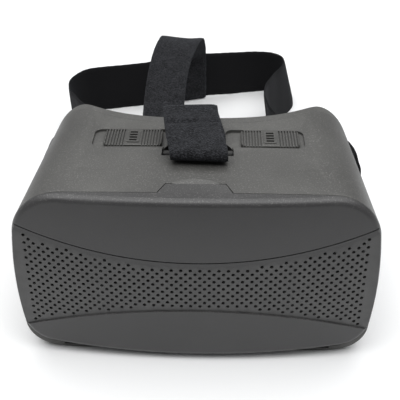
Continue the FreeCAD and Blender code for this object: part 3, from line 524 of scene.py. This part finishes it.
slot_of_node = {row["node"]: row["material_slot"] for row in frame["record"]["subparts"]}
for node_name, part in frame["nodes"].items():
    dress(part, FINISH_OF_SLOT[slot_of_node[node_name]])
print(len(frame["nodes"]), "CAD parts dressed")

# %% [markdown]
# ## Bands
# A strap is a long closed strip, so both are made by the same helper: a smooth path through a few stations, each
# with a place and the direction of the strap's width, and at every step along it a flat cross-section with
# softened edges. Real webbing is never quite flat, so slow sine waves lift its faces and edges a little.
# Cloth simulation would need the whole strap to be dropped and hung again, with no better result for a band that
# is known at a few stations, so it is built directly.

# %% Smooth paths
# Angles travel along a path beside lengths in metres. One degree is kept this small there, so that it hardly
# counts in the distance between two stations.
TURN_UNIT = 0.0001


def catmull(p0, p1, p2, p3, t):
    """Point between p1 and p2 on a smooth curve through all four."""
    a = 2.0 * p1
    b = p2 - p0
    c = 2.0 * p0 - 5.0 * p1 + 4.0 * p2 - p3
    d = 3.0 * p1 - p0 - 3.0 * p2 + p3
    return 0.5 * (a + b * t + c * t * t + d * t * t * t)


def smooth_path(stations, step):
    """Points every step or so on a curve through the stations, which are vectors of any size."""
    ends = [2.0 * stations[0] - stations[1]] + list(stations) + [2.0 * stations[-1] - stations[-2]]
    out = []
    for i in range(1, len(ends) - 2):
        span = (ends[i + 1] - ends[i]).length
        pieces = max(2, round(span / step))
        for k in range(pieces):
            out.append(catmull(ends[i - 1], ends[i], ends[i + 1], ends[i + 2], k / pieces))
    out.append(stations[-1].copy())
    return out


# %% Mesh to object
def object_from(mesh, name):
    """Turns a finished bmesh into an object of the scene."""
    data = bpy.data.meshes.new(name)
    mesh.to_mesh(data)
    mesh.free()
    made = bpy.data.objects.new(name, data)
    bpy.context.scene.collection.objects.link(made)
    return made


# %% Band sections
EDGE_THINNING = 0.55        # how much thinner a band is right at its edges
EDGE_POWER = 10             # the higher, the nearer to the edge that starts
SHORT_WAVE = 310.0          # radians per metre along the band
LONG_WAVE = 127.0
EDGE_WAVE = 900.0
EDGE_WAVER = 0.004          # share of the width by which the edges waver


def run_lengths(middles):
    """How far along the band each of its middles lies."""
    lengths = [0.0]
    for a, b in zip(middles, middles[1:]):
        lengths.append(lengths[-1] + (b - a).length)
    return lengths


def section_directions(middles, acrosses, i):
    """The directions across the band and square to it at middle i."""
    last = len(middles) - 1
    along = (middles[min(i + 1, last)] - middles[max(i - 1, 0)]).normalized()
    across = acrosses[i] - along * acrosses[i].dot(along)
    across.normalize()
    return across, across.cross(along)


def section_points(middle, directions, u, size, places, ripple):
    """One cross-section at length u: (point, place for the UV map) all the way round. Places across the band
    run from -1 to 1."""
    across, normal = directions
    width, thickness = size
    out = []
    for side in (1, -1):
        for s in places if side > 0 else reversed(places):
            half = 0.5 * thickness * (1.0 - abs(s) ** EDGE_POWER * EDGE_THINNING)
            lift = ripple * (math.sin(u * SHORT_WAVE + s * 2.0) + 0.6 * math.sin(u * LONG_WAVE - s * 3.0))
            edge = 1.0 + EDGE_WAVER * math.sin(u * EDGE_WAVE) * abs(s)
            point = middle + across * (s * width / 2 * edge) + normal * (side * half + lift)
            out.append((point, s * width / 2 if side > 0 else width - s * width / 2))
    return out


# %% Band mesh
def sew_rings(mesh, rings, lengths):
    """Joins neighbouring rings of (vertex, place) with quads, maps them in metres and closes both ends."""
    metres = mesh.loops.layers.uv.new("metres")
    count = len(rings[0])
    for i in range(len(rings) - 1):
        for k in range(count):
            m = (k + 1) % count
            corners = ((i, k), (i, m), (i + 1, m), (i + 1, k))
            face = mesh.faces.new([rings[a][b][0] for a, b in corners])
            face.smooth = True
            for loop, (a, b) in zip(face.loops, corners):
                loop[metres].uv = (lengths[a], rings[a][b][1])
    mesh.faces.new([vertex for vertex, _ in reversed(rings[0])])
    mesh.faces.new([vertex for vertex, _ in rings[-1]])
    bmesh.ops.recalc_face_normals(mesh, faces=mesh.faces)


def band_mesh(name, middles, acrosses, width, thickness, across_steps=14, swell=None, ripple=0.00012):
    """A closed strip. middles and acrosses are matching lists of points and width directions.
    swell(u) gives a factor for the thickness at length u."""
    lengths = run_lengths(middles)
    places = [-1.0 + 2.0 * k / across_steps for k in range(across_steps + 1)]
    mesh = bmesh.new()
    rings = []
    for i, middle in enumerate(middles):
        size = (width, thickness * (swell(lengths[i]) if swell else 1.0))
        directions = section_directions(middles, acrosses, i)
        points = section_points(middle, directions, lengths[i], size, places, ripple)
        rings.append([(mesh.verts.new(point), place) for point, place in points])
    sew_rings(mesh, rings, lengths)
    return object_from(mesh, name), lengths[-1]


# %% [markdown]
# ### Elastic head strap
# The strap leaves a slot in each side wall, where it turns round a steel bar and is sewn back on itself, and
# stands on its lower edge on the table in the curls it fell into. It leans a little, inwards in some places and
# outwards in others, which shows its outer face at the curls.

# %% Head strap
STRAP_WIDE = 0.038
STRAP_THICK = 0.0015
FACE_Y = -0.058             # front of the cover
WALL_FROM_BAR = 4.6 * MM    # outside of the housing's wall, from the bar's axis
TURN_GAP = 1.1 * MM         # from the bar's surface to the middle of the strap
left_bar_low, left_bar_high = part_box("left_strap_bar")
right_bar_low, right_bar_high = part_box("right_strap_bar")


def bar_turn(side):
    """Plan points round one side bar, from the sewn tail to the outer run, in metres."""
    low, high = (right_bar_low, right_bar_high) if side > 0 else (left_bar_low, left_bar_high)
    bar_x = abs(low.x + high.x) / 2
    bar_y = (low.y + high.y) / 2
    wall = bar_x + WALL_FROM_BAR
    turn = (high.x - low.x) / 2 + TURN_GAP
    points = [(wall + 1.3 * MM, bar_y + 26 * MM), (wall + 1.3 * MM, bar_y + 18 * MM),
              (wall + 1.3 * MM, bar_y + 10 * MM), (wall - 0.2 * MM, bar_y + 5.6 * MM),
              (wall - 2.8 * MM, bar_y + 3.4 * MM)]
    for angle in (20, 65, 110, 155, 195, 230):
        a = math.radians(angle)
        points.append((bar_x - turn * math.sin(a), bar_y + turn * math.cos(a)))
    points += [(wall - 0.4 * MM, bar_y - 1.8 * MM), (wall + 2.0 * MM, bar_y + 0.6 * MM),
               (wall + 3.5 * MM, bar_y + 5 * MM), (wall + 3.7 * MM, bar_y + 14 * MM),
               (wall + 3.6 * MM, bar_y + 26 * MM)]
    return [(side * x, y, 0.0) for x, y in points]


# Each loose station is (x, y behind the cover's front, lean), in mm and in degrees; the lean tips the upper
# edge to the strap's left-hand side as one walks from its left end to its right end.
LOOSE_RUN = [
    (-90, 130, 0), (-87, 160, 0), (-84, 190, 1), (-85, 217, 2), (-96.5, 238, 3), (-105.5, 258, 3),
    (-104.5, 276, 2), (-95, 290, 1), (-75, 296.5, 0), (-50, 303, 0), (-32.6, 309.3, 0), (-15.5, 315, 0),
    (1.6, 320.7, 0), (18, 325, 0), (38, 330, -3), (54, 330.5, -8), (66, 322, -13), (67, 305, -15),
    (58, 284, -15), (49.5, 262, -11), (47, 242, -7), (51, 217, -4), (64, 185, -1), (79, 150, 0), (87.5, 128, 0),
]
LOOP_PLACE = (-15.5, 315)   # where the top strap goes round, as (x, y behind the cover's front)
LOOP_REACH = 0.03           # the head strap is lifted this far to each side of it
LOOP_LIFT = 0.0020
TABLE_GAP = 0.0006
FALL_START = 0.024          # behind the bars, where the strap starts to come down to the table
FALL_RUN = 0.095

head_route = bar_turn(-1)
head_route += [(x * MM, FACE_Y + y * MM, lean) for x, y, lean in LOOSE_RUN]
head_route += list(reversed(bar_turn(1)))


def upright(route, step):
    """Middles and width directions of a band that stands on its edge and leans."""
    flat = smooth_path([Vector((x, y, lean * TURN_UNIT)) for x, y, lean in route], step)
    middles, acrosses = [], []
    last = len(flat) - 1
    loop_place = Vector((LOOP_PLACE[0] * MM, FACE_Y + LOOP_PLACE[1] * MM))
    hung = (left_bar_low.z + left_bar_high.z) / 2
    for i, place in enumerate(flat):
        along = (flat[min(i + 1, last)] - flat[max(i - 1, 0)]).to_2d().normalized()
        sideways = Vector((-along.y, along.x, 0.0))
        lean = math.radians(place.z / TURN_UNIT)
        lifted = math.exp(-((place.to_2d() - loop_place).length / LOOP_REACH) ** 2)
        fallen = min(1.0, max(0.0, (place.y - left_bar_high.y - FALL_START) / FALL_RUN))
        fallen = fallen * fallen * (3.0 - 2.0 * fallen)
        low_edge = TABLE_GAP + LOOP_LIFT * lifted
        stood = cad_low.z + low_edge + STRAP_WIDE / 2 * math.cos(lean)
        middles.append(Vector((place.x, place.y, stood * fallen + hung * (1.0 - fallen))))
        acrosses.append(sideways * math.sin(lean) + Vector((0, 0, 1)) * math.cos(lean))
    return middles, acrosses


strap_middles, strap_acrosses = upright(head_route, 0.002)
head_strap, head_length = band_mesh("head_strap_band", strap_middles, strap_acrosses, STRAP_WIDE, STRAP_THICK)
head_strap.data.materials.append(elastic)
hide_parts("head_strap")
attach(head_strap, "housing")
print("head strap", round(head_length / MM), "mm long,", len(head_strap.data.polygons), "faces")

# %% [markdown]
# ### Hook-and-loop top strap
# The top strap is looped and sewn round the head strap, rises in an arch, sags behind the face cushion, crosses
# the top of the housing, dips under a bar in the pocket and is folded back over itself. Its free end is turned
# under and sewn, so the first stretch of the band is nearly twice as thick, with a sewn groove after it.

# %% Top strap
TOP_WIDE = 0.0284
TOP_THICK = 0.0019
LAY_GAP = 1.8               # mm from the housing's crown to the middle of the strap
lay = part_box("main_housing")[1].z / MM + LAY_GAP

# Stations are (x, y behind the cover's front, z, yaw, roll), in mm and in degrees. Yaw turns the strap's width
# direction to the right and back, roll lowers its right-hand edge.
TOP_RUN = [
    (-4.6, 72.5, 111.6, -6, 4), (-3.6, 64, 109.8, -6, 4), (-2.0, 52, 107.9, -4, 2), (-0.2, 42.5, 106.3, -4, 1),
    (0.9, 36.6, 104.8, -4, 0), (1.2, 34.6, 102.8, -4, 0), (1.2, 36.0, 101.2, -4, 0), (1.0, 39.5, 100.9, -3, 0),
    (0.6, 42.5, 100.7, -2, 0), (0.2, 45.2, 99.9, 0, 0), (0.0, 46.3, 98.1, 0, 0), (0.0, 47.2, 95.6, 0, 0),
    (0.0, 49.8, 92.6, 0, 0), (0.0, 53, 91.2, 0, 0), (0.0, 56.3, 92.8, 0, 0), (0.0, 57.6, 96.4, 0, 0),
    (0.0, 58.8, 99.2, 0, 0), (-0.2, 60.9, 100.6, 0, 0), (-0.5, 64.5, lay, 0, 0), (-2, 74, lay, 0, 0),
    (-4, 86, lay, 0, 0), (-5, 92.5, 97.0, 0, 0), (-6, 96.5, 89, 0, 0), (-9, 101, 72, 0, 0), (-14, 110, 54, 0, 0),
    (-18.7, 127, 42, 0, 0), (-24.6, 150, 38, 0, 0), (-28, 175, 42, -3, 1), (-28.3, 200, 52, -6, 4),
    (-27.0, 222, 63.2, -8, 8), (-24.3, 240, 71.2, -6, 12), (-21.2, 254, 74.5, 0, 13), (-18.9, 268, 73, 8, 9),
    (-16.5, 285, 64.6, 16, 3), (-15.4, 300, 52, 18.6, 0), (-15.2, 309.0, 43.5, 18.6, 0),
    (-14.9, 312.7, 34, 18.6, 0), (-14.9, 312.9, 8, 18.6, 0), (-15.0, 313.3, 2.4, 18.6, 0),
    (-15.5, 315.0, 1.2, 18.6, 0), (-16.0, 316.8, 2.4, 18.6, 0), (-16.1, 317.2, 8, 18.6, 0),
    (-16.1, 317.2, 30, 18.6, 0),
]
FOLD_LENGTH = 0.0125        # the turned-under end
FOLD_FACTOR = 1.75
STITCH_PLACE = 0.0138
STITCH_HALF = 0.0011
STITCH_DEPTH = 0.35


def top_route(run, step):
    """Middles and width directions of a band given by stations such as those above."""
    stations = [Vector((x * MM, FACE_Y + y * MM, z * MM, yaw * TURN_UNIT, roll * TURN_UNIT))
                for x, y, z, yaw, roll in run]
    path = smooth_path(stations, step)
    middles = [Vector((p[0], p[1], p[2])) for p in path]
    acrosses = []
    for p in path:
        yaw, roll = math.radians(p[3] / TURN_UNIT), math.radians(p[4] / TURN_UNIT)
        acrosses.append(Vector((math.cos(yaw), math.sin(yaw), -math.sin(roll))))
    return middles, acrosses


def end_fold(u):
    """Nearly twice as thick where the free end is turned under, with a dip along the row of stitches."""
    if u < FOLD_LENGTH:
        return FOLD_FACTOR
    dip = math.exp(-((u - STITCH_PLACE) / STITCH_HALF) ** 2)
    return 1.0 - STITCH_DEPTH * dip


top_middles, top_acrosses = top_route(TOP_RUN, 0.0012)
top_strap, top_length = band_mesh("top_strap_band", top_middles, top_acrosses, TOP_WIDE, TOP_THICK,
                                  across_steps=18, swell=end_fold, ripple=0.0001)
top_strap.data.materials.append(pile)
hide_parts("top_strap")
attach(top_strap, "housing")
print("top strap", round(top_length / MM), "mm long,", len(top_strap.data.polygons), "faces")

# %% [markdown]
# ## Face cushion
# A pad of foam wrapped in artificial leather runs round the face frame. It starts from the plain CAD ring, is
# remeshed to even quads and blown up a little by a cloth simulation with pressure and no gravity, which gives the
# crowned section that a sewn pad has.

# %% Padded ring
def copy_of(node_name, new_name):
    """A free copy of a CAD node, so that the node itself stays untouched."""
    source = frame["nodes"][node_name]
    made = bpy.data.objects.new(new_name, source.data.copy())
    bpy.context.scene.collection.objects.link(made)
    return made


def apply_all(made):
    """Replaces an object's mesh with what its modifiers make of it."""
    graph = bpy.context.evaluated_depsgraph_get()
    data = bpy.data.meshes.new_from_object(made.evaluated_get(graph))
    made.modifiers.clear()
    made.data = data


def remesh(made, voxel):
    """Rebuilds a mesh from even quads of about voxel in size."""
    modifier = made.modifiers.new("remesh", "REMESH")
    modifier.mode = "VOXEL"
    modifier.voxel_size = voxel
    modifier.use_smooth_shade = True
    apply_all(made)


def puff(made, pressure, frames, most):
    """Blows a closed mesh up like a cushion; no point moves further than most, in metres."""
    before = [v.co.copy() for v in made.data.vertices]
    cloth = made.modifiers.new("cloth", "CLOTH")
    cloth.settings.use_pressure = True
    cloth.settings.uniform_pressure_force = pressure
    cloth.settings.effector_weights.gravity = 0.0
    cloth.settings.quality = 5
    cloth.collision_settings.use_collision = False
    scene = bpy.context.scene
    for index in range(1, frames + 1):
        scene.frame_set(index)
    apply_all(made)
    scene.frame_set(1)
    for vertex, old in zip(made.data.vertices, before):
        shift = vertex.co - old
        if shift.length > most:
            vertex.co = old + shift * (most / shift.length)


cushion = copy_of("face_cushion", "face_cushion_pad")
remesh(cushion, voxel=0.0022)
puff(cushion, pressure=4.0, frames=20, most=0.0016)
smooth = cushion.modifiers.new("smooth", "SMOOTH")
smooth.factor = 0.6
smooth.iterations = 4
finer = cushion.modifiers.new("finer", "SUBSURF")
finer.levels = 1
finer.render_levels = 1
apply_all(cushion)
for polygon in cushion.data.polygons:
    polygon.use_smooth = True
dress(cushion, leather)
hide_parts("face_cushion")
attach(cushion, "housing")
print("cushion", len(cushion.data.polygons), "faces")

# %% [markdown]
# ## Foam pads
# Four strips of black foam keep the phone from rattling. Each is a plain CAD block, replaced by a block whose
# front and back sink towards their edges and whose corners are rounded.

# %% Foam strips
FOAM_SINK = 0.16            # share of the half thickness lost at the rim
FOAM_SINK_POWER = 6
FOAM_EDGE_R = 0.0005
SHARP_ANGLE = 1.2           # radians between two faces


def foam_strip(node_name, body):
    """Replaces one foam block; body is what it rides on."""
    low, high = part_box(node_name)
    middle = (low + high) / 2
    half = (high - low) / 2
    mesh = bmesh.new()
    bmesh.ops.create_cube(mesh, size=2.0)
    bmesh.ops.subdivide_edges(mesh, edges=mesh.edges, cuts=7, use_grid_fill=True)
    for vertex in mesh.verts:
        unit = vertex.co.copy()
        worst = max(abs(unit.x), abs(unit.z))
        crown = 1.0 - FOAM_SINK * worst ** FOAM_SINK_POWER
        vertex.co = middle + Vector((unit.x * half.x, unit.y * half.y * crown, unit.z * half.z))
    corners = [edge for edge in mesh.edges if edge.calc_face_angle(0.0) > SHARP_ANGLE]
    bmesh.ops.bevel(mesh, geom=corners, offset=FOAM_EDGE_R, segments=2, affect="EDGES")
    for face in mesh.faces:
        face.smooth = True
    made = object_from(mesh, node_name + "_foam")
    dress(made, foam)
    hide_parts(node_name)
    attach(made, body)


for pad_name, pad_body in (("left_seat_pad", "housing"), ("right_seat_pad", "housing"),
                           ("left_cover_pad", "cover"), ("right_cover_pad", "cover")):
    foam_strip(pad_name, pad_body)
print("foam strips made")
